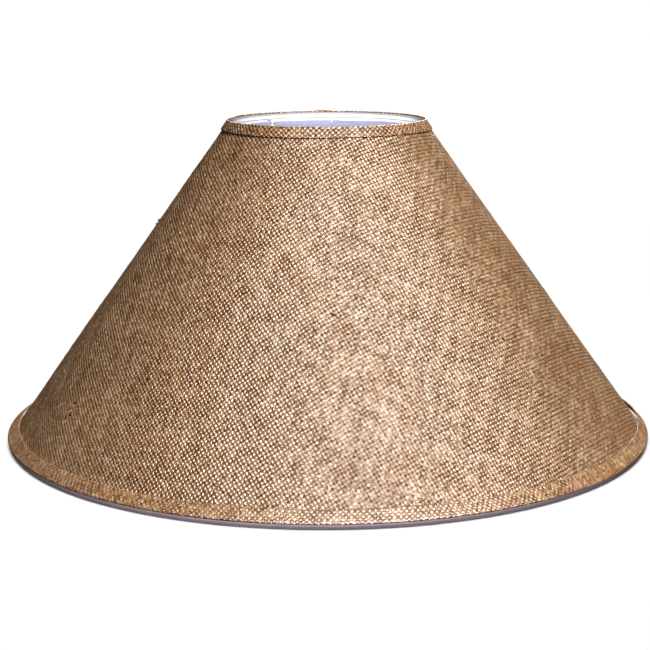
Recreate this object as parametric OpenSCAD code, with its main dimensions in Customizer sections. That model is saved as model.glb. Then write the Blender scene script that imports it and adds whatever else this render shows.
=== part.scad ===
// Wide cone ("coolie") lamp shade: burlap bonded to a stiff white sheet, two wire rings,
// white cloth bindings, burlap trims, and a three-arm washer spider that sits on a lamp's harp.
// Millimetres. The origin is the centre of the circle that the lower rim stands on, +Z up.

/* [Shape] */
// Centre-line diameter of the lower wire ring
base_ring_d = 493; // [300:1:600]
// Centre-line diameter of the upper wire ring
top_ring_d = 148; // [110:1:180]
// Height over all, standing on the lower rim
height = 246.4; // [180:1:320]

/* [Sheet and cloth] */
// Thickness of the burlap cover
cover_t = 0.9; // [0.6:0.1:1.4]
// Thickness of the styrene sheet behind it
liner_t = 0.5; // [0.3:0.1:0.8]
// Thickness of the white cloth binding
binding_t = 0.3; // [0.3:0.1:0.6]
// How far the binding's inner leg runs from the ring
binding_leg = 6.4; // [5:0.2:12]
// How far its outer leg runs, under the trim
outer_leg = 6.4; // [4:0.2:8]
// Overlap of the rolled sheet at the back
lap_w = 20; // [12:1:30]
// Distance of the overlap's outside edge from the shade's back centre line
lap_x = 5; // [0:1:20]

/* [Trim tape] */
// How far the trims reach from each ring onto the cover
trim_reach = 8.2; // [6:0.1:14]
// Thickness of the pressed tape: the upper trim, and the far edge of the lower one
trim_t = 1.1; // [0.9:0.1:2]
// How far the upper trim's edge is past its ring's centre line
top_hang = 1.7; // [0.5:0.1:4]
// Thickness of the lower trim at its rolled hem
hem_t = 3; // [1.6:0.1:4]
// How far outside the lower ring's centre line the hem's middle is, level
hem_out = 6; // [4:0.1:8]
// How far above the lower ring's centre line the hem's middle is
hem_up = 2.6; // [0:0.1:5]

/* [Frame wire] */
// Wire of the two rings
ring_wire_d = 3.2; // [2.4:0.1:4]
// Wire of the spider arms
arm_wire_d = 2.2; // [1.8:0.1:3]
// Drop from the upper ring to the washer's arms
spider_drop = 15; // [10:0.5:30]
// How far below the ring's centre line the arms meet it
arm_low = 1.8; // [0:0.1:2.4]
// How far inside the ring the arms turn down
arm_setback = 6; // [5:0.5:12]
// Direction of the first arm, from +X
arm_angle = 130; // [0:1:359]
// Inner radius of the arms' bends
arm_bend = 3; // [2:0.5:5]

/* [Washer] */
// Outside diameter of the spider washer
washer_d = 28; // [24:1:40]
// Thickness of the washer
washer_t = 1.6; // [1.2:0.1:2.5]
// Hole for the harp's stud, 7/16 inch
stud_hole_d = 11.1; // [10.5:0.1:12]

/* [Hidden] */
$fn = 96;

glue = 0.1;                                   // film of adhesive between two layers
wire_r = ring_wire_d / 2;
base_r = base_ring_d / 2;
top_r = top_ring_d / 2;

// Layers, measured outwards from the rings' centre line, square to the slant
liner_in = wire_r + glue;
liner_out = liner_in + liner_t;
cover_in = liner_out + glue;
cover_out = cover_in + cover_t;
binding_out = cover_out + binding_t;
trim_in = binding_out + glue;

// The upper trim's section: the middles of its two rolled edges
top_fold_r = trim_t / 2;
top_fold = [trim_in + top_fold_r, top_fold_r - top_hang];
far_fold = [trim_in + top_fold_r, trim_reach];

// Rings: the lower one lies on its pressed binding, and the upper trim's roll is the highest point
press = 20;                                   // half the angle over which the binding is pressed flat
base_z = (wire_r + binding_t) * cos(press);
function rim_up(a) = top_fold[0] * sin(a) - top_fold[1] * cos(a) + top_fold_r;
function cone_angle(a) = atan((base_r - top_r) / (height - base_z - rim_up(a)));
half_angle = cone_angle(cone_angle(cone_angle(36)));
top_z = height - rim_up(half_angle);
slant = norm([base_r - top_r, top_z - base_z]);
sheet_edge = 1;                               // the sheet runs this far past each ring's centre line

// The middle of the lower trim's rolled hem
hem = [hem_out * cos(half_angle) + hem_up * sin(half_angle),
       hem_up * cos(half_angle) - hem_out * sin(half_angle)];

// The overlap: the inner end of the sheet steps in behind the outer end
tape_t = 0.3;                                 // double-sided tape in the overlap
tab_out = liner_in - glue / 2 - tape_t - glue / 2;
tab_cover_in = tab_out - cover_t;
tab_liner_out = tab_cover_in - glue;
tab_liner_in = tab_liner_out - liner_t;
tab_clear = binding_leg + 1.5;                // the inner end stops short of the bindings

arm_r = arm_wire_d / 2;
washer_z = top_z - spider_drop + arm_r;       // underside of the washer
arm_gap = 2;                                  // the arms stop this far outside the stud hole
arm_short = 0.4;                              // and this far short of the upper ring's centre line

burlap = "#b8956f";
white_sheet = "#f2f1ee";
white_cloth = "#ecebe8";
zinc = "#b9bcc0";
enamel = "#f7f7f5";

// Points of an arc round c, from angle a0 to a1
function arc(c, r, a0, a1, n = 6) =
    [for (i = [0:n]) c + r * [cos(a0 + (a1 - a0) * i / n), sin(a0 + (a1 - a0) * i / n)]];

// Points drawn as [outwards, along the slant away from the edge], put at the lower or the upper ring
function turned(p) = [p[0] * cos(half_angle) - p[1] * sin(half_angle),
                      p[0] * sin(half_angle) + p[1] * cos(half_angle)];
function at_base(points) = [for (p = points) [base_r, base_z] + turned(p)];
function at_top(points) = [for (p = points) [top_r, top_z] + turned([p[0], -p[1]])];

// A conical shell between two depths, from edge to edge of the sheet
module shell(inner, outer, clear = -sheet_edge) {
    rotate_extrude() translate([base_r, base_z]) rotate(half_angle)
        translate([inner, clear]) square([outer - inner, slant - 2 * clear]);
}

// The part of a shell that lies at the back between two distances from the centre line
module back_strip(x0, x1) {
    intersection() {
        children();
        translate([x0, 0, -1]) cube([x1 - x0, base_r * 2, height + 2]);
    }
}

// One layer of the rolled sheet: the shell with a slit, a step in, and the tab behind the overlap
module rolled_layer(inner, outer, tab_inner, tab_outer, step_x, step_w) {
    difference() {
        shell(inner, outer);
        back_strip(step_x, lap_x) shell(inner - 1, outer + 1, -sheet_edge - 5);
    }
    back_strip(step_x - step_w, step_x) shell(tab_inner, outer, tab_clear);
    back_strip(step_x - step_w, lap_x + lap_w) shell(tab_inner, tab_outer, tab_clear);
}

module burlap_cover() {
    color(burlap) rolled_layer(cover_in, cover_out, tab_cover_in, tab_out, lap_x - 0.5, cover_t);
}

module styrene_liner() {
    color(white_sheet)
        rolled_layer(liner_in, liner_out, tab_liner_in, tab_liner_out,
                     lap_x - 0.5 - cover_t - glue, liner_t);
}

module seam_tape() {
    color("#d9d4c4") back_strip(lap_x + 1, lap_x + lap_w - 1)
        shell(tab_out + glue / 2, tab_out + glue / 2 + tape_t, tab_clear + 1);
}

module wire_ring(r, z) {
    translate([0, 0, z]) rotate_extrude() translate([r, 0]) circle(r = wire_r);
}

module top_ring() {
    color(zinc) wire_ring(top_r, top_z);
}

module bottom_ring() {
    color(zinc) wire_ring(base_r, base_z);
}

// Points of the binding's section: up the outside of the sheet, round its edge and the ring, and up
// inside. Straight out from the rim, it is pressed flat.
function binding_points(
    gap = glue / 2,
    in_r = wire_r + glue / 2,
    out_r = wire_r + binding_t,
    edge = -sheet_edge - glue / 2,
    leg_in = liner_in - glue / 2,
    lead = 3.2,                               // height at which the inner leg meets the sheet
    out = -90 - half_angle                    // straight out from the rim, as the section lies
) = concat(
    [[binding_out, outer_leg]],
    arc([cover_out, edge], binding_t, 0, -90, 4),
    arc([0, 0], out_r, -60, out + press, 6),
    arc([0, 0], out_r, out - press, -180, 4),
    [[leg_in - binding_t, lead], [leg_in - binding_t, binding_leg], [leg_in, binding_leg],
     [leg_in, lead - binding_t]],
    arc([0, 0], in_r, -180, -60, 10),
    [[liner_in, edge], [cover_out + gap, edge], [cover_out + gap, outer_leg]]
);

module top_binding() {
    color(white_cloth) difference() {
        rotate_extrude() polygon(at_top(binding_points()));
        for (i = [0:2]) rotate(arm_angle + 120 * i) translate([top_r - 8, 0, top_z - arm_low])
            rotate([0, 90, 0]) cylinder(r = arm_r + glue, h = 8.5);
    }
}

module bottom_binding() {
    color(white_cloth) rotate_extrude() polygon(at_base(binding_points()));
}

// Points of a trim's section: a folded tape, from its rolled edge at the ring to its edge on the cover
function trim_points(near, near_r, far, far_r) =
    let (lean = atan2(far[1] - near[1], far[0] - near[0]))
    concat(arc(near, near_r, lean + 90, lean + 270, 8), arc(far, far_r, lean - 90, lean + 90, 8));

// The tape's two ends meet at the back with a hairline gap
module trim_ends_gap() {
    translate([-0.3, 0, -1]) cube([0.6, base_r * 2, height + 2]);
}

module top_trim() {
    color(burlap) difference() {
        rotate_extrude() polygon(at_top(trim_points(top_fold, top_fold_r, far_fold, top_fold_r)));
        trim_ends_gap();
    }
}

module bottom_trim() {
    color(burlap) difference() {
        rotate_extrude() polygon(at_base(trim_points(hem, hem_t / 2, far_fold, top_fold_r)));
        trim_ends_gap();
    }
}

// One wire: in from the ring, down through a bend, and in again under the washer
module spider_arm(angle) {
    high_z = top_z - arm_low;
    low_z = top_z - spider_drop;
    drop_r = top_r - arm_setback;
    inner_end = stud_hole_d / 2 + arm_gap;
    color(enamel) difference() {
        rotate(angle) {
            translate([drop_r + arm_bend, 0, high_z]) rotate([0, 90, 0])
                cylinder(r = arm_r, h = arm_setback - arm_bend - arm_short);
            translate([drop_r + arm_bend, 0, high_z - arm_bend]) rotate([90, 0, 0]) rotate(90)
                rotate_extrude(angle = 90) translate([arm_bend, 0]) circle(r = arm_r);
            translate([drop_r, 0, low_z + arm_bend])
                cylinder(r = arm_r, h = high_z - low_z - 2 * arm_bend);
            translate([drop_r - arm_bend, 0, low_z + arm_bend]) rotate([90, 0, 0]) rotate(270)
                rotate_extrude(angle = 90) translate([arm_bend, 0]) circle(r = arm_r);
            translate([inner_end, 0, low_z]) rotate([0, 90, 0])
                cylinder(r = arm_r, h = drop_r - arm_bend - inner_end);
        }
        wire_ring(top_r, top_z);
    }
}

module spider_arm_1() spider_arm(arm_angle);
module spider_arm_2() spider_arm(arm_angle + 120);
module spider_arm_3() spider_arm(arm_angle + 240);

module spider_washer() {
    chamfer = 0.3;
    color(enamel) translate([0, 0, washer_z]) difference() {
        union() {
            cylinder(d = washer_d, h = washer_t - chamfer);
            translate([0, 0, washer_t - chamfer])
                cylinder(d1 = washer_d, d2 = washer_d - 2 * chamfer, h = chamfer);
        }
        translate([0, 0, -1]) cylinder(d = stud_hole_d, h = washer_t + 2);
    }
}

burlap_cover();
styrene_liner();
seam_tape();
top_ring();
bottom_ring();
top_binding();
bottom_binding();
top_trim();
bottom_trim();
spider_arm_1();
spider_arm_2();
spider_arm_3();
spider_washer();
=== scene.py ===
# %% [markdown]
# # A burlap cone lamp shade
# The real shade is a flat sector of jute burlap, bonded to a stiff white styrene sheet, rolled into
# a cone and lapped at the back. A wire ring stiffens each rim. White cloth binding wraps ring and
# edge together, and a folded burlap tape trims the outside. Three bent wires carry a washer that
# sits on a lamp's harp. The CAD frame has every piece at its true place and size, so this lesson
# reads all its sizes from the frame and works in metres.

# %% Load the frame
import math

import bmesh
import bpy
import numpy as np
from mathutils import Matrix, Vector


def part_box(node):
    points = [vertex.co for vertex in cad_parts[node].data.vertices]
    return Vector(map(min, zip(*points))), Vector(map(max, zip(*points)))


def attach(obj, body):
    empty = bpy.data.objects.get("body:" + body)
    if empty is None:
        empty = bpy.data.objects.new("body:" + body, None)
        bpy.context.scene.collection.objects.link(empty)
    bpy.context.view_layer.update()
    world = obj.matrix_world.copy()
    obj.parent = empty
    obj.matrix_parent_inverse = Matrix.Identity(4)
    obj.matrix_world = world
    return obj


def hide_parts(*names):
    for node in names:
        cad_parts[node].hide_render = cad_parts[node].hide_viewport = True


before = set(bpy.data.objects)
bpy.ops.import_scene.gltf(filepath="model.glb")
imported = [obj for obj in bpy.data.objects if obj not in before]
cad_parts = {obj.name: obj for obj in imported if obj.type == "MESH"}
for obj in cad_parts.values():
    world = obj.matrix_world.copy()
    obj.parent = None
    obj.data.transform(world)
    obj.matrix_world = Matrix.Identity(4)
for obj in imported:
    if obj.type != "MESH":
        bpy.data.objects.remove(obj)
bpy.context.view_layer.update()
MM = 0.001
chance = np.random.default_rng(11)
print("CAD nodes:", sorted(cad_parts))

# %% [markdown]
# Blender's operators act on whatever is selected, and loading the frame leaves its nodes selected.
# So each piece starts from a clean slate. Each finished piece gets its material and smooth shading,
# and is hung on the body it rides on, and the CAD nodes it stands for are hidden.

# %% Small helpers for operators
def clear_selection():
    bpy.ops.object.select_all(action="DESELECT")


def make_active(piece):
    clear_selection()
    piece.select_set(True)
    bpy.context.view_layer.objects.active = piece


def apply_modifiers(piece):
    make_active(piece)
    for modifier in list(piece.modifiers):
        bpy.ops.object.modifier_apply(modifier=modifier.name)


def triangles(piece):
    return sum(len(face.vertices) - 2 for face in piece.data.polygons)


def finish_piece(piece, material, stands_for=()):
    """Material, shading and body of a finished piece. Hides the CAD nodes it stands for."""
    make_active(piece)
    piece.data.materials.clear()
    piece.data.materials.append(material)
    bpy.ops.object.shade_smooth()
    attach(piece, "root")
    if stands_for:
        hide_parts(*stands_for)
    print(f"{piece.name}: {triangles(piece)} triangles")
    return piece


# %% [markdown]
# Everything hangs on two wire rings. Their centre lines give the cone: its half angle, and the
# slant distance from its tip. A place in the wall is then three numbers: the turn round the axis
# (0 at the front, growing to the right), the slant distance from the tip, and the depth outwards
# from the rings' centre line.

# %% Sizes from the frame
def ring_of(node):
    """Centre-line radius, height and wire radius of a ring."""
    low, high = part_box(node)
    wire = (high.z - low.z) / 2
    return high.x - wire, (high.z + low.z) / 2, wire


base_r, base_z, wire_r = ring_of("bottom_ring")
top_r, top_z, _ = ring_of("top_ring")
half_angle = math.atan((base_r - top_r) / (top_z - base_z))
sin_a, cos_a = math.sin(half_angle), math.cos(half_angle)
tip_z = top_z + top_r / math.tan(half_angle)
slant_top, slant_base = top_r / sin_a, base_r / sin_a

GLUE = 0.1 * MM                         # every layer of glue
LINER_T, COVER_T, TAPE_T = 0.5 * MM, 0.9 * MM, 0.3 * MM     # styrene sheet, burlap, double-sided tape
liner_in = wire_r + GLUE
liner_out = liner_in + LINER_T
cover_out = liner_out + GLUE + COVER_T
print(f"half angle {math.degrees(half_angle):.2f} deg, slant {1000 * (slant_base - slant_top):.1f} mm")


def wall_point(turn, slant, depth):
    """Points of the wall, as an array of x, y, z. The arguments may be arrays."""
    radius = slant * sin_a + depth * cos_a
    height = tip_z - slant * cos_a + depth * sin_a
    return np.stack([radius * np.sin(turn), -radius * np.cos(turn), height], axis=-1)


def smooth_step(low, high, value):
    share = np.clip((value - low) / (high - low), 0, 1)
    return share * share * (3 - 2 * share)


# %% [markdown]
# ## Colours and materials
# Colours are written as sRGB hex and turned linear by one function. One other function adds a node,
# with its settings, and links or sets its inputs. Three short ones make the nodes that come up most.

# %% Material helpers
def linear(hex_colour):
    """sRGB hex to linear RGBA."""
    parts = [int(hex_colour[i : i + 2], 16) / 255 for i in (1, 3, 5)]
    return [c / 12.92 if c <= 0.04045 else ((c + 0.055) / 1.055) ** 2.4 for c in parts] + [1.0]


def new_material(name):
    material = bpy.data.materials.new(name)
    material.use_nodes = True
    return material, material.node_tree, material.node_tree.nodes["Principled BSDF"]


def add(tree, kind, inputs=(), output=0, **settings):
    """Adds a node and returns one of its outputs. inputs maps a socket to a value or to an output."""
    made = tree.nodes.new(kind)
    for name, value in settings.items():
        setattr(made, name, value)
    for socket, value in dict(inputs).items():
        if isinstance(value, bpy.types.NodeSocket):
            tree.links.new(value, made.inputs[socket])
        else:
            made.inputs[socket].default_value = value
    return made.outputs[output]


def noise(tree, place, scale, detail, rough=0.5, output=0):
    inputs = {"Vector": place, "Scale": scale, "Detail": detail, "Roughness": rough}
    return add(tree, "ShaderNodeTexNoise", inputs, output)


def spread(tree, value, low, high, start=0.3, stop=0.7):
    """Spreads the part of a value between start and stop over low to high. Noise lies in 0.3 to 0.7."""
    return add(tree, "ShaderNodeMapRange", {0: value, 1: start, 2: stop, 3: low, 4: high})


def ramp(tree, value, stops):
    """A colour ramp with stops of position and sRGB hex."""
    colour = add(tree, "ShaderNodeValToRGB", {0: value})
    elements = colour.node.color_ramp.elements
    for position, _ in stops[1:-1]:
        elements.new(position)
    for element, (position, hex_colour) in zip(elements, stops):
        element.position = position
        element.color = linear(hex_colour)
    return colour


# %% [markdown]
# **Jute burlap.** The real cloth is hessian: coarse jute yarns, about 13 to the inch, in plain
# weave, so each yarn goes over one and under one. It is golden brown, with a silky gleam on the
# yarns' crowns. The yarns are thick in one place and thin in another, and the gaps between them
# look dark. The weave could be modelled as 82,000 crossings of real yarn, but that is millions of
# triangles. Here the mesh has one vertex for each crossing, and the shader draws the yarns between.
#
# Every piece of this cloth has a UV map called yarns. It counts yarns: U across one set, V across
# the other, in thousands. Inside one cell of the count, the yarn on top is highest in the middle
# and dives at the ends, and both yarns have a rounded section, here a parabola. Numbers without a
# unit below are in yarns, for places, or in yarn heights, for the relief.

# %% Jute burlap
YARNS_PER_UV = 1000.0
SINK = 0.45                             # how much deeper the V yarns lie, in yarn heights
GAP_LOW, GAP_HIGH = -0.58, 0.12         # heights where a yarn is lost in shadow, and where it is clear
YARN_RELIEF = 0.5 * MM                  # height of the bump
WOBBLE, JITTER = 0.5, 0.75              # how far the yarns stray, in yarns, slowly and from cell to cell
SLUB_LENGTH = 0.045                     # slubs in each yarn's length: one in about 22 crossings
MOTTLE = 0.17                           # difference in tone from stitch to stitch
FLUFF = 0.42                            # how far fibres fill a gap, in yarn heights
YARN_TONES = ((0.20, "#82562f"), (0.40, "#b0804f"), (0.55, "#c79c70"), (0.70, "#d9bc9a"), (0.84, "#e6d8c6"))


def jute(name, tone="#ffffff", sag=0.6):
    """Plain-weave jute in a tone. sag says how deep the holes of a loose weave are."""
    material, tree, shader = new_material(name)

    def math_node(operation, *values):
        return add(tree, "ShaderNodeMath", dict(enumerate(values)), operation=operation)

    def vector(operation, *values, **more):
        return add(tree, "ShaderNodeVectorMath", dict(enumerate(values)), operation=operation, **more)

    def parts(value):
        node = tree.nodes.new("ShaderNodeSeparateXYZ")
        tree.links.new(value, node.inputs[0])
        return node.outputs

    uv = add(tree, "ShaderNodeUVMap", uv_map="yarns")
    count = add(tree, "ShaderNodeVectorMath", {0: uv, 3: YARNS_PER_UV}, operation="SCALE")
    # The yarns' lines stray, as in loosely woven jute: a slow wobble, and a jitter at each crossing
    for scale, amount in ((0.09, WOBBLE), (0.55, JITTER)):
        stray = vector("SUBTRACT", noise(tree, count, scale, 1.0, output=1), (0.5, 0.5, 0.5))
        count = vector("MULTIPLY_ADD", stray, (amount, amount, 0.0), count)
    cell = vector("FLOOR", count)
    inside = vector("SUBTRACT", vector("SUBTRACT", count, cell), (0.5, 0.5, 0.0))
    cell_x, cell_y, _ = parts(cell)
    count_x, count_y, _ = parts(count)

    # Over or under: 1 where the U yarn is on top, -1 where the V yarn is
    odd = math_node("FLOORED_MODULO", math_node("ADD", cell_x, cell_y), 2.0)
    over = math_node("MULTIPLY_ADD", odd, -2.0, 1.0)

    # Thick and thin: one slow noise along each yarn, the same across its width
    along_u = add(tree, "ShaderNodeCombineXYZ", {0: cell_x, 1: count_y})
    slub_u = noise(tree, vector("MULTIPLY", along_u, (3.7, SLUB_LENGTH, 0.0)), 1.0, 2.0, 0.6)
    along_v = add(tree, "ShaderNodeCombineXYZ", {0: count_x, 1: cell_y})
    slub_v = noise(tree, vector("MULTIPLY", along_v, (SLUB_LENGTH, 4.3, 0.0)), 1.0, 2.0, 0.6)

    # Heights of the two yarns in this cell: the U yarns ride high, and the V yarns lie deep between
    swing_x, swing_y, _ = parts(vector("COSINE", vector("MULTIPLY", inside, (math.pi, math.pi, 0.0))))
    section_x, section_y, _ = parts(vector("MULTIPLY", inside, inside))
    heights = []
    for swing, section, slub, sign, drop in ((swing_y, section_x, slub_u, 0.5, 0.0),
                                             (swing_x, section_y, slub_v, -0.5, SINK)):
        lift = math_node("MULTIPLY", math_node("MULTIPLY", swing, over), sign)
        thin = spread(tree, slub, 2.8, 1.2)
        rounded = math_node("MULTIPLY_ADD", section, thin, drop)
        heights.append(math_node("SUBTRACT", lift, rounded))
    height = math_node("MAXIMUM", *heights)
    # Loose jute sags into the holes at every other crossing, which deepens the check
    check = math_node("MULTIPLY", math_node("MULTIPLY", swing_x, swing_y), over)
    height = math_node("MULTIPLY_ADD", check, sag, math_node("MULTIPLY", height, 0.45))
    u_shows = math_node("GREATER_THAN", *heights)

    # Colour: straw to brown along each yarn, mottled from stitch to stitch, and darker down in the weave,
    # which is painted shade
    slub = add(tree, "ShaderNodeMix", {0: u_shows, 2: slub_v, 3: slub_u})
    mottle = add(tree, "ShaderNodeTexWhiteNoise", {0: cell}, noise_dimensions="2D")
    mottle = spread(tree, mottle, -MOTTLE, MOTTLE, 0.0, 1.0)
    tones = ramp(tree, math_node("ADD", slub, mottle), YARN_TONES)
    loose = spread(tree, noise(tree, count, 0.11, 2.0), -0.15, 0.15)
    fibre = noise(tree, count, 3.2, 2.0, 0.7)
    fluff = spread(tree, fibre, -FLUFF, FLUFF)
    depth = math_node("ADD", math_node("ADD", height, fluff), math_node("ADD", mottle, loose))
    # Painted shade: the deeper a place lies in the weave, the more it is mixed towards a dark brown, as if
    # the holes lay in shade
    painted_gap_shade = spread(tree, depth, 1.0, 0.0, GAP_LOW, GAP_HIGH)
    shade = add(tree, "ShaderNodeMix", {0: painted_gap_shade, 6: tones, 7: linear("#63401f")}, output=2, data_type="RGBA")
    blotch = spread(tree, noise(tree, count, 0.035, 3.0), 0.90, 1.08)
    shade = add(tree, "ShaderNodeVectorMath", {0: shade, 3: blotch}, operation="SCALE")
    shade = vector("MULTIPLY", shade, linear(tone)[:3])
    tree.links.new(shade, shader.inputs["Base Color"])

    # Relief: the yarns, and their twisted fibres. Real fibres are too fine to show, so these are coarser
    relief = math_node("MULTIPLY_ADD", fibre, 0.55, height)
    bump = add(tree, "ShaderNodeBump", {"Height": relief, "Strength": 1.0, "Distance": YARN_RELIEF})
    tree.links.new(bump, shader.inputs["Normal"])
    shader.inputs["Roughness"].default_value = 0.4
    # The silky gleam is on the crowns only, so the tint of the gloss goes dark in the gaps
    gleam = spread(tree, painted_gap_shade, 1.0, 0.05, 0.0, 1.0)
    tree.links.new(gleam, shader.inputs["Specular Tint"])
    shader.inputs["Specular IOR Level"].default_value = 0.5
    return material


jute_cloth = jute("jute_hessian_plain_weave")
jute_tapes = {"base": jute("jute_hessian_hem_tape", tone="#fbf6f0", sag=0.2),
              "top": jute("jute_hessian_rim_tape", tone="#fbf4ea", sag=0.5)}
print("jute has", len(jute_cloth.node_tree.nodes), "nodes")

# %% [markdown]
# **White cloth.** The binding is thin cotton tape, a fine plain weave of about 0.3 mm threads,
# which is too fine to show, so its threads are drawn 0.8 mm apart. It is matt, and light passes
# into it a little, so its folds look soft.

# %% White cotton tape
def cotton(name):
    material, tree, shader = new_material(name)
    place = add(tree, "ShaderNodeTexCoord", output=3)
    thread = 0.8 * MM
    rows = add(tree, "ShaderNodeVectorMath", {0: place, 3: 2 * math.pi / thread}, operation="SCALE")
    rows = add(tree, "ShaderNodeVectorMath", {0: rows}, operation="SINE")
    rows = add(tree, "ShaderNodeVectorMath", {0: rows, 1: (1.0, 1.0, 1.0)}, 1, operation="DOT_PRODUCT")
    soil = ramp(tree, noise(tree, place, 60.0, 3.0), ((0.3, "#e6e5ea"), (0.6, "#f4f3f5")))
    tree.links.new(soil, shader.inputs["Base Color"])
    bump = add(tree, "ShaderNodeBump", {"Height": rows, "Strength": 0.25, "Distance": 0.05 * MM})
    tree.links.new(bump, shader.inputs["Normal"])
    shader.inputs["Roughness"].default_value = 0.85
    shader.inputs["Specular IOR Level"].default_value = 0.25
    return material


cotton_tape = cotton("white_cotton_binding_tape")

# %% [markdown]
# **The hard parts.** The lining is calendered polystyrene sheet, matt and a very slightly bluish
# white from its brightener, with a faint pebble from the rolls. The rings are drawn steel wire with
# dull zinc plating. The spider is white baked enamel over wire and a stamped washer, satin, with a
# slight orange peel. The seam's tape is a clear yellowish film. Each pattern here is noise on Object
# coordinates, at the real size of the pebble or peel, because these pieces keep the frame's own
# meshes, which have no UV map.

# %% Sheet, metal, enamel and film
def plain(name, light, dark, size, relief, roughness, specular=0.5, metallic=0.0, coat=0.0):
    """A finish with a slow drift between two tones and a fine relief of the given size."""
    material, tree, shader = new_material(name)
    place = add(tree, "ShaderNodeTexCoord", output=3)
    drift = ramp(tree, noise(tree, place, 22.0, 3.0), ((0.32, dark), (0.68, light)))
    tree.links.new(drift, shader.inputs["Base Color"])
    grain = noise(tree, place, 1 / size, 2.0)
    bump = add(tree, "ShaderNodeBump", {"Height": grain, "Strength": 0.5, "Distance": relief})
    tree.links.new(bump, shader.inputs["Normal"])
    shader.inputs["Roughness"].default_value = roughness
    shader.inputs["Specular IOR Level"].default_value = specular
    shader.inputs["Metallic"].default_value = metallic
    shader.inputs["Coat Weight"].default_value = coat
    return material


styrene = plain("calendered_white_polystyrene", "#e6e9f3", "#dfe3f0", 1.2 * MM, 0.03 * MM, 0.6, 0.2)
zinc = plain("zinc_plated_drawn_wire", "#bfc2c6", "#8f9398", 0.5 * MM, 0.02 * MM, 0.38, metallic=1.0)
enamel = plain("baked_white_enamel", "#f3f3f0", "#e9e9e6", 0.9 * MM, 0.02 * MM, 0.28, coat=0.3)
film = plain("clear_adhesive_film", "#ded8c6", "#d2cbb6", 1.5 * MM, 0.02 * MM, 0.22)

finishes = {"styrene_liner": styrene, "seam_tape": film, "top_ring": zinc, "bottom_ring": zinc,
            "spider_washer": enamel}
finishes.update({f"spider_arm_{i}": enamel for i in (1, 2, 3)})
for node, material in finishes.items():
    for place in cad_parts[node].material_slots:
        place.material = material
print("finishes given to", len(finishes), "CAD nodes")

# %% [markdown]
# ## The cover
# The real cover is cut flat, as a sector, with the cloth's yarns straight across it, and then
# rolled. So the yarns run nearly upright at the front right, and lie down on the left. A cone
# primitive with a wrapped pattern would turn the yarns with the cone, which is wrong. So the grid is
# made flat, with one vertex for each crossing of two yarns, trimmed to the sector, and rolled up
# by a formula. Vertices rise and fall in turn, over and under, and thick yarns (slubs) stand out.

# %% Yarns of the cover, in the flat cut
UPRIGHT_YARNS = math.radians(77.5)      # direction of one set at the front, from level
LEVEL_YARNS = math.radians(-16.4)       # and of the other
PITCH_U, PITCH_V = 1.9 * MM, 2.0 * MM   # spacing in each set, 13 to the inch
LAP_X, LAP_W = 5 * MM, 20 * MM          # the outer end's distance from the back line, and the lap
LAP_STEP = 1.1 * MM                     # way over which the inner end steps in
CLOTH_LIFT = 0.25 * MM                  # the cloth's middle surface lies this far inside its face
cloth_mid = cover_out - CLOTH_LIFT
tab_mid = liner_in - GLUE - TAPE_T - CLOTH_LIFT
cloth_shift = cloth_mid / math.tan(half_angle)
flat_low, flat_high = slant_top + cloth_shift - 1 * MM, slant_base + cloth_shift + 1 * MM

across_u = np.array([math.sin(UPRIGHT_YARNS), -math.cos(UPRIGHT_YARNS)])
across_v = np.array([-math.sin(LEVEL_YARNS), math.cos(LEVEL_YARNS)])
to_flat = np.linalg.inv(np.array([across_u / PITCH_U, across_v / PITCH_V]))
reach = int(flat_high / (1.7 * MM)) + 4
u_index, v_index = np.meshgrid(np.arange(-reach, reach), np.arange(-reach, reach), indexing="ij")
flat_xy = np.stack([u_index + 0.5, v_index + 0.5], -1) @ to_flat.T
print("widest yarn count", 2 * reach)

# %% [markdown]
# Each flat point has a slant distance and a turn. Near the back, the distance from the back's
# centre line says where the sheet's two ends are: the outer end stops 5 mm before it, and the
# inner end runs 25 mm past it, behind the outer one. Points just outside are pulled to the edge,
# so that the edges come out straight.

# %% Trim the grid to the sector
BACK = math.pi * sin_a                  # the back's centre line, as an angle in the flat
TAB_CLEAR = 9.5 * MM                    # the inner end stops this far from the sheet's edges


def past_back(flat, side):
    """How far flat points lie past the back's centre line, on the right (1) or the left (-1)."""
    return side * flat[..., 0] * math.cos(BACK) + flat[..., 1] * math.sin(BACK)


def pull_back(flat, side, limit):
    """Moves the points past a straight edge onto it."""
    excess = np.clip(past_back(flat, side) - limit, 0, None)
    excess = np.where(side * flat[..., 0] > 0, excess, 0)
    flat[..., 0] -= side * excess * math.cos(BACK)
    flat[..., 1] -= excess * math.sin(BACK)


margin = 1.2 * PITCH_V
slant = np.hypot(flat_xy[..., 0], flat_xy[..., 1])
right = flat_xy[..., 0] > 0
past = np.where(right, past_back(flat_xy, 1), past_back(flat_xy, -1))
in_rims = (slant > flat_low - margin) & (slant < flat_high + margin)
in_tab = (slant > flat_low + TAB_CLEAR) & (slant < flat_high - TAB_CLEAR) & (past < LAP_X + LAP_W + margin)
in_ends = np.where(right, past < -LAP_X + margin, (past < LAP_X - MM) | in_tab)
keep = in_rims & in_ends
pull_back(flat_xy, -1, LAP_X + LAP_W)
pull_back(flat_xy, 1, -LAP_X)
slant = np.hypot(flat_xy[..., 0], flat_xy[..., 1])
flat_xy *= (np.clip(slant, flat_low, flat_high) / slant)[..., None]
whole = keep[:-1, :-1] & keep[1:, :-1] & keep[1:, 1:] & keep[:-1, 1:]
number = np.arange(keep.size).reshape(keep.shape)
quads = np.stack([number[:-1, :-1], number[1:, :-1], number[1:, 1:], number[:-1, 1:]], -1)[whole]
used, quads = np.unique(quads, return_inverse=True)
quads = quads.reshape(-1, 4)
flat_points = flat_xy.reshape(-1, 2)[used]
print(len(used), "crossings,", len(quads), "cells")

# %% [markdown]
# The same small function turns any set of points and faces into a piece with a UV map that counts
# yarns. Rolling it up is the formula from before: the turn is the flat angle over the sine of the
# cone's half angle.

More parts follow.
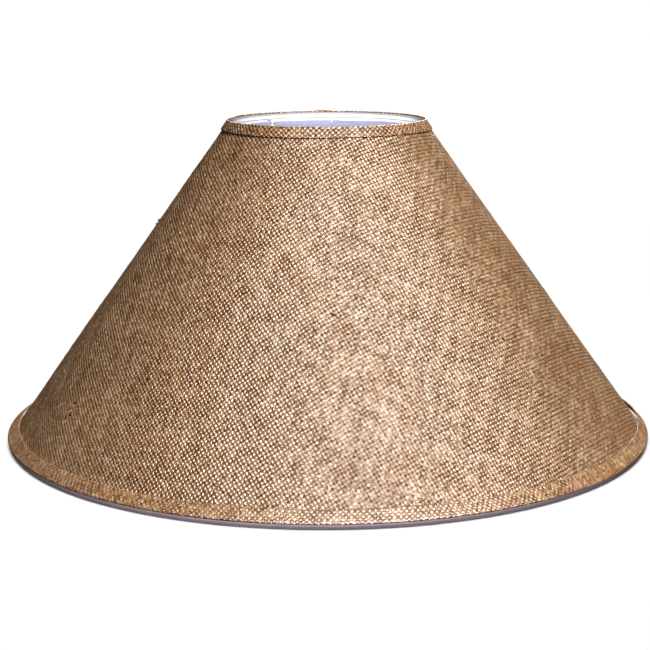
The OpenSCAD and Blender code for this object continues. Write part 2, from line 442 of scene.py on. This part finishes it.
# %% Roll the cover up
def piece_from(name, points, faces, yarns=None):
    """A mesh piece. yarns gives each point its yarn counts."""
    mesh = bpy.data.meshes.new(name)
    mesh.from_pydata(np.asarray(points).tolist(), [], np.asarray(faces).tolist())
    if yarns is not None:
        corner = np.empty(len(mesh.loops), dtype=np.int32)
        mesh.loops.foreach_get("vertex_index", corner)
        layer = mesh.uv_layers.new(name="yarns")
        layer.data.foreach_set("uv", (np.asarray(yarns)[corner] / YARNS_PER_UV).ravel())
    mesh.validate()
    piece = bpy.data.objects.new(name, mesh)
    bpy.context.scene.collection.objects.link(piece)
    return piece


def yarn_swell(yarn, along, seed, cells=9.0):
    """How thick a yarn is along its length: smooth noise about 0, one course for each yarn."""
    local = np.random.default_rng(seed)
    yarn = yarn.astype(int) - int(yarn.min())
    place = (along - along.min()) / cells
    step = place.astype(int)
    knots = local.normal(0, 1, (yarn.max() + 1, step.max() + 2))
    share = smooth_step(0, 1, place - step)
    return knots[yarn, step] * (1 - share) + knots[yarn, step + 1] * share


def yarn_counts(flat):
    return np.stack([flat @ across_u / PITCH_U, flat @ across_v / PITCH_V], -1)


counts = yarn_counts(flat_points)
cell_u, cell_v = np.floor(counts[:, 0]), np.floor(counts[:, 1])
over_under = np.where((cell_u + cell_v) % 2 == 0, 1.0, -1.0)
swell_u = yarn_swell(cell_u, counts[:, 1], 21)
swell_v = yarn_swell(cell_v, counts[:, 0], 22)
# Relief in mm: the crossings, their unevenness, and the slubs that stand out
relief = 0.09 * over_under + chance.normal(0, 0.035, len(counts))
relief += 0.16 * np.clip(swell_u - 0.8, 0, 2) + 0.14 * np.clip(swell_v - 0.8, 0, 2)
slant = np.hypot(flat_points[:, 0], flat_points[:, 1])
turn = np.arctan2(flat_points[:, 0], -flat_points[:, 1]) / sin_a
past_left = np.where(flat_points[:, 0] < 0, past_back(flat_points, -1), -1.0)
step_in = smooth_step(LAP_X - 0.4 * MM - LAP_STEP, LAP_X - 0.4 * MM, past_left)
depth = cloth_mid + (tab_mid - cloth_mid) * step_in + relief * MM * (1 - 0.6 * step_in)
# The sheet isn't a perfect cone: slow waves, which die out 30 mm from the stiff rims
slow = np.sin(turn * 3.1 + 0.4) * np.sin(slant * 41.0) + 0.7 * np.sin(turn * 7.3 + slant * 23.0)
from_rims = smooth_step(0, 0.03, slant - flat_low) * smooth_step(0, 0.03, flat_high - slant)
depth += 0.18 * MM * slow * (1 - step_in) * from_rims
cover = piece_from("burlap_cloth", wall_point(turn, slant - cloth_shift, depth), quads, counts)

# %% [markdown]
# The outer end's edge shows at the back. The cloth there is cut straight and glued down, so its
# edge is drawn in by the thickness of the yarns.

# %% The cover's outer end
END_TURN_IN = 0.7 * MM
at_end = (flat_points[:, 0] > 0) & (past_back(flat_points, 1) > -LAP_X - 0.02 * MM)
edge_points = set(np.flatnonzero(at_end).tolist())
edit = bmesh.new()
edit.from_mesh(cover.data)
edit.verts.ensure_lookup_table()
rim_edges = [e for e in edit.edges if e.is_boundary and all(v.index in edge_points for v in e.verts)]
made = bmesh.ops.extrude_edge_only(edit, edges=rim_edges)["geom"]
for vert in (g for g in made if isinstance(g, bmesh.types.BMVert)):
    inward = Vector((-vert.co.x, -vert.co.y, 0)).normalized() * cos_a - Vector((0, 0, sin_a))
    vert.co += inward * END_TURN_IN
bmesh.ops.recalc_face_normals(edit, faces=edit.faces)
sample = max(edit.faces, key=lambda f: -f.calc_center_median().y)
if sample.normal.y > 0:
    bmesh.ops.reverse_faces(edit, faces=edit.faces)
edit.to_mesh(cover.data)
edit.free()
finish_piece(cover, jute_cloth, ["burlap_cover"])

# %% [markdown]
# ## The bindings
# A strip of white tape goes up the outside of the sheet, round its edge and the ring, and up
# inside. Its section is a path in the rim's own frame: how far outwards, and how far along the
# slant from the ring. The path is swept round the rim by a formula, so that the tape can pucker a
# little as it goes, and Solidify gives it its thickness.

# %% A tape swept round a rim
# For each rim: its ring's radius and height, the way in from it along the wall, and its CAD name
RIMS = {"base": (base_r, base_z, 1, "bottom"), "top": (top_r, top_z, -1, "top")}


def on_rim(rim, turn, out, along):
    """Points at a rim: out is outwards from the wall, and along is from the ring into the wall."""
    ring_r, ring_z, way, _ = RIMS[rim]
    radius = ring_r + out * cos_a - way * along * sin_a
    height = ring_z + out * sin_a + way * along * cos_a
    return np.stack([radius * np.sin(turn), -radius * np.cos(turn), height], axis=-1)


def arc_points(centre, radius, start, stop, count):
    turns = np.radians(np.linspace(start, stop, count))
    return np.stack([centre[0] + radius * np.cos(turns), centre[1] + radius * np.sin(turns)], -1)


def even_path(points, step):
    """The path's points at even steps, with the length up to each."""
    lengths = np.concatenate([[0], np.cumsum(np.linalg.norm(np.diff(points, axis=0), axis=1))])
    count = int(round(lengths[-1] / step)) + 1
    at = np.linspace(0, lengths[-1], count)
    return np.stack([np.interp(at, lengths, points[:, k]) for k in (0, 1)], -1), at


def band_faces(columns, rows, closed):
    number = np.arange(columns * rows).reshape(columns, rows)
    here, there = (number, np.roll(number, -1, 0)) if closed else (number[:-1], number[1:])
    return np.stack([here[:, :-1], there[:, :-1], there[:, 1:], here[:, 1:]], -1).reshape(-1, 4)


def band_from(name, points, columns, rows, closed, yarns=None):
    return piece_from(name, points, band_faces(columns, rows, closed), yarns)


def from_axis(face):
    return math.hypot(face.center.x, face.center.y)


def face_out(piece, test):
    """Turns all faces over unless the face that scores highest in test points away from the axis."""
    face = max(piece.data.polygons, key=test)
    if face.normal.x * face.center.x + face.normal.y * face.center.y < 0:
        piece.data.flip_normals()


CLOTH_T = 0.3 * MM                      # the white tape
BINDING_LEG = 6.4 * MM                  # how far it goes up the wall, outside and inside
PUCKERS = ((1.9 * MM, 0.3), (3.1 * MM, 1.9), (7.3 * MM, 4.0))      # wave length and phase
WANDERS = ((5, 0.2), (11, 1.3), (23, 2.9))                          # waves in a turn, and phase


def bind(rim, columns):
    """White tape round a ring, in so many columns. It puckers towards its inner edge."""
    radius, _, _, cad_name = RIMS[rim]
    outside, leg_in, edge = cover_out + CLOTH_T / 2, liner_in - CLOTH_T / 2 - 0.05 * MM, -1.1 * MM
    round_ring = wire_r + CLOTH_T / 2 + 0.02 * MM
    path = np.concatenate([
        [[outside, BINDING_LEG], [outside, 0.0]],
        arc_points((cover_out, edge), CLOTH_T / 2, 0, -90, 4),
        arc_points((0, 0), round_ring, -60, -180, 12),
        [[leg_in - 0.15 * MM, 3.0 * MM], [leg_in, 3.6 * MM], [leg_in, BINDING_LEG]],
    ])
    path, at = even_path(path, 0.9 * MM)
    turn = np.linspace(-math.pi, math.pi, columns, endpoint=False)[:, None]
    ripple = sum(np.sin(turn * radius / length + phase) for length, phase in PUCKERS) / 3
    inner = smooth_step(at[-1] - 4.5 * MM, at[-1], at)[None, :]
    out = path[None, :, 0] - 0.16 * MM * inner * (1 + ripple)
    wander = sum(np.sin(turn * k + phase) for k, phase in WANDERS) / 3
    along = path[None, :, 1] + 0.35 * MM * inner * wander
    points = on_rim(rim, turn, out, along).reshape(-1, 3)
    if rim == "base":
        points[:, 2] = np.maximum(points[:, 2], CLOTH_T / 2 + 0.01 * MM)
    piece = band_from(f"cotton_binding_{rim}", points, columns, len(path), True)
    face_out(piece, from_axis if rim == "base" else lambda face: face.center.z)
    thick = piece.modifiers.new("thickness", "SOLIDIFY")
    thick.thickness, thick.offset = CLOTH_T, 0
    apply_modifiers(piece)
    finish_piece(piece, cotton_tape, [f"{cad_name}_binding"])
    return piece


base_binding = bind("base", 1100)
top_binding = bind("top", 420)

# %% [markdown]
# ## The trims
# The trim is a strip of the same burlap, cut straight along its yarns, with both raw edges folded
# behind, and glued over the binding. It is thick and stands off the wall a little. Its section
# path runs from one raw edge, round the lower fold, up the face, round the upper fold and down to
# the other raw edge. One end of the tape laps over the other at the back.

# %% The folded burlap tape
TAPE_PITCH = 2.1 * MM                   # yarn rows along the tape, opened a little by the fold
END_LAP = 9 * MM
FOLD_R = 0.55 * MM                      # the pressed folds, and both folds of the upper trim
FOLD_INSIDE = 0.72                      # the path is the cloth's middle, inside the folds' outline
RAW_LEG = 3.6 * MM                      # how far each raw edge is turned under
CREST = 0.2 * MM                        # relief of the yarns
FLARE, FLARE_TURN, FLARE_WIDE = 2.2 * MM, 88, 13    # the hem stands off at the far right, in degrees
tape_out = cover_out + CLOTH_T + GLUE + FOLD_R
HEM_OUT, HEM_UP, HEM_R = 6 * MM, 2.6 * MM, 1.5 * MM     # centre and radius of the hem's full fold
hem_fold = (HEM_OUT * cos_a + HEM_UP * sin_a, HEM_UP * cos_a - HEM_OUT * sin_a)
sections = {"top": ((tape_out, -1.15 * MM), FOLD_R, (tape_out - 0.15 * MM, 7.4 * MM)),
            "base": (hem_fold, HEM_R, (tape_out - 0.1 * MM, 8.6 * MM))}


def trim_path(rim):
    """The tape's section, with the length and the height in it: up to the near fold, round it, up
    the face, round the far fold and back."""
    near, near_r, far = (np.array(value) for value in sections[rim])
    lean = math.degrees(math.atan2(far[1] - near[1], far[0] - near[0]))
    along = (far - near) / np.linalg.norm(far - near)
    inward = np.array([-along[1], along[0]])
    path = np.concatenate([
        [near + inward * near_r * FOLD_INSIDE + along * RAW_LEG],
        arc_points(near, near_r * FOLD_INSIDE, lean + 90, lean + 270, 9),
        arc_points(far, FOLD_R * FOLD_INSIDE, lean - 90, lean + 90, 9),
        [far + inward * FOLD_R * FOLD_INSIDE - along * RAW_LEG],
    ])
    path, at = even_path(path, 0.62 * MM)
    up = (path - near) @ along / np.linalg.norm(far - near)
    return path, at, np.clip(up, -0.1, 1.2)


def slow_wave(arc, waves, seed):
    """A sum of sine waves of given lengths and heights, with seeded phases."""
    phases = np.random.default_rng(seed).uniform(0, 2 * math.pi, len(waves))
    return sum(height * np.sin(2 * math.pi * arc / length + phase)
               for (length, height), phase in zip(waves, phases))


def trim(rim, seed):
    """The folded burlap tape of a rim. It has two columns for each yarn that crosses it."""
    radius, _, _, cad_name = RIMS[rim]
    path, at, up = trim_path(rim)
    tangent = np.gradient(path, axis=0)
    tangent /= np.linalg.norm(tangent, axis=1)[:, None]
    normal = np.stack([tangent[:, 1], -tangent[:, 0]], -1)
    columns = int((2 * math.pi * radius + END_LAP) / (PITCH_U / 2))
    turn = np.linspace(-math.pi, math.pi + END_LAP / radius, columns)[:, None]
    arc = (turn[:, 0] + math.pi) * radius
    # Yarn counts, with a slight skew that comes and goes, and the relief they give
    skew = slow_wave(arc, ((0.21, 0.9), (0.083, 0.5)), seed)
    count_along = arc[:, None] / PITCH_U + skew[:, None] * (at[None, :] / TAPE_PITCH - 5) * 0.25
    count_rows = np.broadcast_to(at[None, :] / TAPE_PITCH, count_along.shape) + 0.25 * skew[:, None]
    in_a, in_r = count_along % 1 - 0.5, count_rows % 1 - 0.5
    parity = np.where((np.floor(count_along) + np.floor(count_rows)) % 2 == 0, 1.0, -1.0)
    crown = np.maximum(0.5 * parity * np.cos(math.pi * in_a) - 2.2 * in_r**2,
                       -0.5 * parity * np.cos(math.pi * in_r) - 2.2 * in_a**2 - SINK)
    uneven = np.random.default_rng(seed).normal(0, 0.03 * MM, crown.shape)
    lift = CREST * np.clip(crown, -0.9, 0.5) + uneven
    # Its edges wander, and its upper edge stands off in places
    wander = slow_wave(arc, ((0.13, 1.0), (0.047, 0.7), (0.019, 0.35)), seed + 1)
    stand_off = 0.12 * MM * np.clip(slow_wave(arc, ((0.19, 1.0), (0.06, 0.6)), seed + 2), 0, 2)
    if rim == "base":
        stand_off += FLARE * np.exp(-(((np.degrees(turn[:, 0]) - FLARE_TURN) / FLARE_WIDE) ** 2))
    out = path[None, :, 0] + lift * normal[None, :, 0] + stand_off[:, None] * up[None, :] ** 2
    along = path[None, :, 1] + lift * normal[None, :, 1] + 0.2 * MM * wander[:, None] * up[None, :]
    # The last end lies on the first, and the thicker base tape is pressed flatter there
    lap = smooth_step(math.pi - 7 * MM / radius, math.pi + 1 * MM / radius, turn)
    out = out + 0.95 * MM * lap * (1 if rim == "top" else 0.4)
    points = on_rim(rim, turn, out, along).reshape(-1, 3)
    yarns = np.stack([count_along, count_rows], -1).reshape(-1, 2)
    piece = band_from(f"burlap_trim_{rim}", points, columns, len(path), False, yarns)
    face_out(piece, from_axis if rim == "base" else lambda f: from_axis(f) - 2 * abs(f.center.z - top_z))
    finish_piece(piece, jute_tapes[rim], [f"{cad_name}_trim"])


trim("base", 41)
trim("top", 51)

# %% [markdown]
# ## Slubs, shives and loose fibres
# Jute is a rough fibre. Bits of the plant's woody core, called shives, stay in the yarn and show as
# dark specks. A thick slub has worked loose on the lower left and stands up in three loops. Another
# makes a nub on the left outline. And short fibres stick out all over. Each is real geometry on the
# wall, from an icosphere or a thin tube.

# %% Shives and slubs
shive = plain("dark_jute_shive", "#4b2f18", "#2b180a", 0.4 * MM, 0.05 * MM, 0.85, 0.05)
rust = plain("rust_brown_jute_fleck", "#a9602f", "#7c3f1b", 0.4 * MM, 0.05 * MM, 0.85, 0.05)
loose_jute = plain("loose_jute_fibre", "#b4925f", "#85663d", 0.4 * MM, 0.05 * MM, 0.7, 0.15)


def on_cover(turn, z, lift=0.0):
    """A point of the cover's face at a turn and a height, and its way round, way up and way out."""
    depth = cover_out + lift
    slant = (tip_z - z + depth * sin_a) / cos_a
    round_ = Vector((math.cos(turn), math.sin(turn), 0))
    up = Vector((-math.sin(turn) * sin_a, math.cos(turn) * sin_a, cos_a))
    return Vector(wall_point(turn, slant, depth)), round_, up, round_.cross(up)


BEND = 0.12                             # how much a lump is bowed, as a share of its length


def blob(turn, z, length, width, tilt, lift=0.1 * MM):
    """A small bowed lump on the cover: an icosphere stretched along its tilt. Sizes are in mm."""
    length, width = length * MM, width * MM
    clear_selection()
    bpy.ops.mesh.primitive_ico_sphere_add(subdivisions=2, radius=1.0)
    lump = bpy.context.active_object
    centre, round_, up, out = on_cover(math.radians(turn), z * MM, lift)
    tilt = math.radians(tilt)
    along = round_ * math.cos(tilt) + up * math.sin(tilt)
    across = up * math.cos(tilt) - round_ * math.sin(tilt)
    for vert in lump.data.vertices:
        x, y, w = vert.co
        bend = BEND * length * x * x
        vert.co = centre + along * x * length / 2 + across * (y * width / 2 + bend) + out * w * width / 3
    return lump


def joined(lumps, name, material):
    clear_selection()
    for lump in lumps:
        lump.select_set(True)
    bpy.context.view_layer.objects.active = lumps[0]
    bpy.ops.object.join()
    lumps[0].name = name
    return finish_piece(lumps[0], material)


# Turn from the front and height, then length, width and tilt, in degrees and mm: the boldest ones
dark_specks = ((1.5, 124.5, 4.6, 1.5, -24), (-39.8, 76.5, 2.6, 1.6, 10), (-35.8, 78.1, 2.2, 1.6, 40),
               (17.2, 96.8, 2.4, 1.1, 60), (18.5, 103.3, 2.0, 1.1, 20), (44.0, 99.3, 3.8, 1.2, -30),
               (42.0, 66.8, 2.4, 1.1, -20), (15.5, 27.7, 2.2, 1.1, 75), (38.5, 171.6, 2.6, 1.1, 30),
               (67.8, 230.9, 2.2, 1.2, 0), (-58.5, 48.9, 3.6, 2.0, 20), (-57.7, 41.6, 3.2, 1.8, -15),
               (-58.0, 35.1, 3.0, 1.7, 10))
rust_specks = ((-40.5, 208.2, 3.0, 1.3, 60), (-27.5, 87.9, 3.0, 1.2, -20), (-6.5, 99.3, 2.6, 1.2, 30),
               (-11.0, 38.3, 2.6, 1.2, 70), (54.0, 68.4, 3.2, 1.3, -10))
joined([blob(*speck) for speck in dark_specks], "dark_shives", shive)
joined([blob(*speck) for speck in rust_specks], "rust_flecks", rust)
nubs = [blob(-89.0, 167.6, 3.0, 1.9, 65, 0.3 * MM), blob(-88.2, 164.9, 2.0, 1.4, 80, 0.2 * MM)]
joined(nubs, "silhouette_slub", loose_jute)

# %% [markdown]
# The loops of the slub and the loose fibres are tubes along short arcs. There are hundreds of
# fibres, so each tube has three sides and five rings, with its ends drawn in to a point.

# %% Loops and loose fibres
ASKEW = Vector((0.31, 0.17, 0.93))      # a direction that no fibre runs in
FIBRES = 420


def tubes(name, routes, sides, material):
    """One mesh of closed tubes. A route is a list of points, and the tube's radius at each."""
    points, faces = [], []
    for route, radii in routes:
        start = len(points)
        for i, (place, radius) in enumerate(zip(route, radii)):
            ahead = (route[min(i + 1, len(route) - 1)] - route[max(i - 1, 0)]).normalized()
            side = ahead.cross(ASKEW).normalized()
            other = ahead.cross(side)
            for k in range(sides):
                angle = 2 * math.pi * k / sides
                points.append(place + (side * math.cos(angle) + other * math.sin(angle)) * radius)
        for i in range(len(route) - 1):
            for k in range(sides):
                a, b = start + i * sides + k, start + i * sides + (k + 1) % sides
                faces.append([a, b, b + sides, a + sides])
        faces.append([start + k for k in reversed(range(sides))])
        faces.append([start + (len(route) - 1) * sides + k for k in range(sides)])
    mesh = bpy.data.meshes.new(name)
    mesh.from_pydata(points, [], faces)
    mesh.validate()
    piece = bpy.data.objects.new(name, mesh)
    bpy.context.scene.collection.objects.link(piece)
    make_active(piece)
    bpy.ops.object.mode_set(mode="EDIT")
    bpy.ops.mesh.select_all(action="SELECT")
    bpy.ops.mesh.normals_make_consistent(inside=False)
    bpy.ops.object.mode_set(mode="OBJECT")
    return finish_piece(piece, material)


def arch(turn, z, length, height, tilt, count, radius, sink=0.3 * MM):
    """The route of a fibre that leaves the cloth, arches over and goes in again, or ends in the air."""
    base, round_, up, out = on_cover(turn, z)
    along = round_ * math.cos(tilt) + up * math.sin(tilt)
    share = np.linspace(0, 1, count)
    route = [base + along * length * (t - 0.5) + out * (height * math.sin(math.pi * t) - sink) for t in share]
    return route, [radius * (0.25 if i in (0, count - 1) else 1.0) for i in range(count)]


loops = [arch(math.radians(-58.1), 42.0 * MM, 6.5 * MM, 2.2 * MM, 1.35, 13, 0.5 * MM),
         arch(math.radians(-57.8), 35.2 * MM, 6.0 * MM, 1.8 * MM, 1.75, 13, 0.45 * MM),
         arch(math.radians(-59.2), 38.8 * MM, 7.5 * MM, 1.2 * MM, 1.15, 13, 0.35 * MM)]
tubes("loose_slub_loops", loops, 8, loose_jute)
fibres = []
for _ in range(FIBRES):
    turn = chance.uniform(-math.pi, math.pi)
    z = base_z + 12 * MM + (top_z - base_z - 24 * MM) * chance.beta(1.0, 1.7)
    length = chance.uniform(2.5, 7.0) * MM
    height = chance.uniform(0.4, 1.3) * MM
    tilt = chance.uniform(0, math.pi)
    sink = chance.uniform(-0.1, 0.25) * MM
    fibres.append(arch(turn, z, length, height, tilt, 5, 0.06 * MM, sink))
tubes("loose_fibres", fibres, 3, loose_jute)

# %% [markdown]
# ## Camera, floor and light
# The shade stands on a plain white floor. The key is a large soft box in front, high and to the
# right, so the cone's middle is bright and its left side falls away to brown. A small box nearer in
# gives only the silky gleam on the yarns. A weak box in front and one behind fill in. Each other
# lamp is flagged to one thing: the floor, so that it is white and the hem's shadow falls on it, the
# thin strip under the hem, the white band and the lining inside the top, and the inside as seen
# from below.

# %% Camera
camera_data = bpy.data.cameras.new("camera")
camera = bpy.data.objects.new("camera", camera_data)
bpy.context.scene.collection.objects.link(camera)
bpy.context.scene.camera = camera
PITCH, ROLL = 0.2117, -0.0042           # downwards, and clockwise, in radians
tilt = Matrix.Rotation(math.pi / 2 - PITCH, 3, "X") @ Matrix.Rotation(ROLL, 3, "Z")
camera.rotation_euler = tilt.to_euler()
camera.location = (0.0, -1.2238, 0.3453)
camera_data.sensor_width = 36.0
camera_data.lens = 86.93                # a short telephoto, about 1.2 m away
camera_data.shift_x = -0.0036
camera_data.clip_start, camera_data.clip_end = 0.05, 400.0

# %% Floor and lights
clear_selection()
bpy.ops.mesh.primitive_plane_add(size=300.0, location=(0, 100, 0))
floor = bpy.context.active_object
floor.name = "floor"
floor_white, floor_tree, floor_shader = new_material("floor_white_paper")
grain = add(floor_tree, "ShaderNodeTexNoise", {"Scale": 40.0})
grain = add(floor_tree, "ShaderNodeMapRange", {0: grain, 3: 0.80, 4: 0.82})
floor_tree.links.new(grain, floor_shader.inputs["Base Color"])
floor_shader.inputs["Roughness"].default_value = 1.0
floor_shader.inputs["Specular IOR Level"].default_value = 0.0
floor.data.materials.append(floor_white)
floor.visible_diffuse = floor.visible_glossy = False    # paper flags keep its glare off the cloth


def soft_light(name, kind, energy, colour, place, look_at, size):
    """A lamp. size is an area's diameter, a sun's angle in radians or a point's radius."""
    data = bpy.data.lights.new(name, kind)
    data.energy = energy
    data.color = linear(colour)[:3]
    lamp = bpy.data.objects.new(name, data)
    bpy.context.scene.collection.objects.link(lamp)
    lamp.location = place
    lamp.rotation_euler = (Vector(look_at) - Vector(place)).to_track_quat("-Z", "Y").to_euler()
    if kind == "AREA":
        data.shape, data.size = "DISK", size
    elif kind == "SUN":
        data.angle = size
    else:
        data.shadow_soft_size = size
    return lamp


def only_on(lamp, name, pieces):
    """Links a lamp to a few pieces, as a flag or a snoot would."""
    receivers = bpy.data.collections.new(name)
    bpy.context.scene.collection.children.link(receivers)
    for piece in pieces:
        receivers.objects.link(piece)
    lamp.light_linking.receiver_collection = receivers


lining = bpy.data.objects["styrene_liner"]
meshes = [piece for piece in bpy.data.objects if piece.type == "MESH" and piece is not floor]
shade = [piece for piece in meshes if piece not in (lining, top_binding)]
key = soft_light("key_soft_box", "AREA", 76.0, "#fff9f0", (0.85, -1.76, 2.0), (0, 0, 0.1), 0.8)
gloss = soft_light("gloss_soft_box", "AREA", 120.0, "#fff6f2", (0.26, -0.84, 0.6), (0, 0, 0.0), 0.4)
gloss.visible_diffuse = gloss.visible_camera = False
only_on(key, "shade_only", shade)
only_on(gloss, "gloss_only", shade)
front = soft_light("front_soft_box", "AREA", 0.8, "#fff9f0", (0.15, -1.05, 0.5), (0, 0, 0.1), 0.5)
only_on(front, "front_only", shade)
back = soft_light("back_soft_box", "AREA", 75.0, "#fff9f0", (0.3, 2.5, 1.2), (0, 0, 0.1), 0.8)
only_on(back, "back_only", shade)
over_floor = soft_light("floor_light", "SUN", 3.8, "#ffffff", (0, 0, 3), (0, 0, 0), 0.7)
only_on(over_floor, "floor_only", [floor])
# The strip under the hem is in shadow, and what light it gets is cool
hem_glow = soft_light("hem_light", "SUN", 2.9, "#d8c2d4", (0, -3, 0.16), (0, 0, 0), 0.05)
only_on(hem_glow, "hem_only", [base_binding])
band_light = soft_light("band_light", "SUN", 4.6, "#ffffff", (0.0, -3, 0.5), (0, 0, 0.24), 0.1)
only_on(band_light, "band_only", [top_binding])
lining_light = soft_light("lining_light", "SUN", 2.9, "#d8dfff", (0.0, -3, 0.5), (0, 0, 0.24), 0.1)
only_on(lining_light, "lining_only", [lining])
rim_lamp = soft_light("rim_lamp", "POINT", 0.16, "#ffffff", (0, 0, 0.21), (0, 0, 0), 0.02)
only_on(rim_lamp, "rim_lamp_only", [top_binding])
inside = soft_light("inside_lamp", "POINT", 0.35, "#eef0ff", (0, 0, 0.06), (0, 0, 0.3), 0.03)
only_on(inside, "inside_only", [piece for piece in meshes if piece is not top_binding])
world = bpy.data.worlds.new("studio")
bpy.context.scene.world = world
world.use_nodes = True
sky = world.node_tree.nodes["Background"]
sky.inputs["Color"].default_value = linear("#fff0e2")
sky.inputs["Strength"].default_value = 0.05
bpy.context.scene.view_settings.view_transform = "Standard"
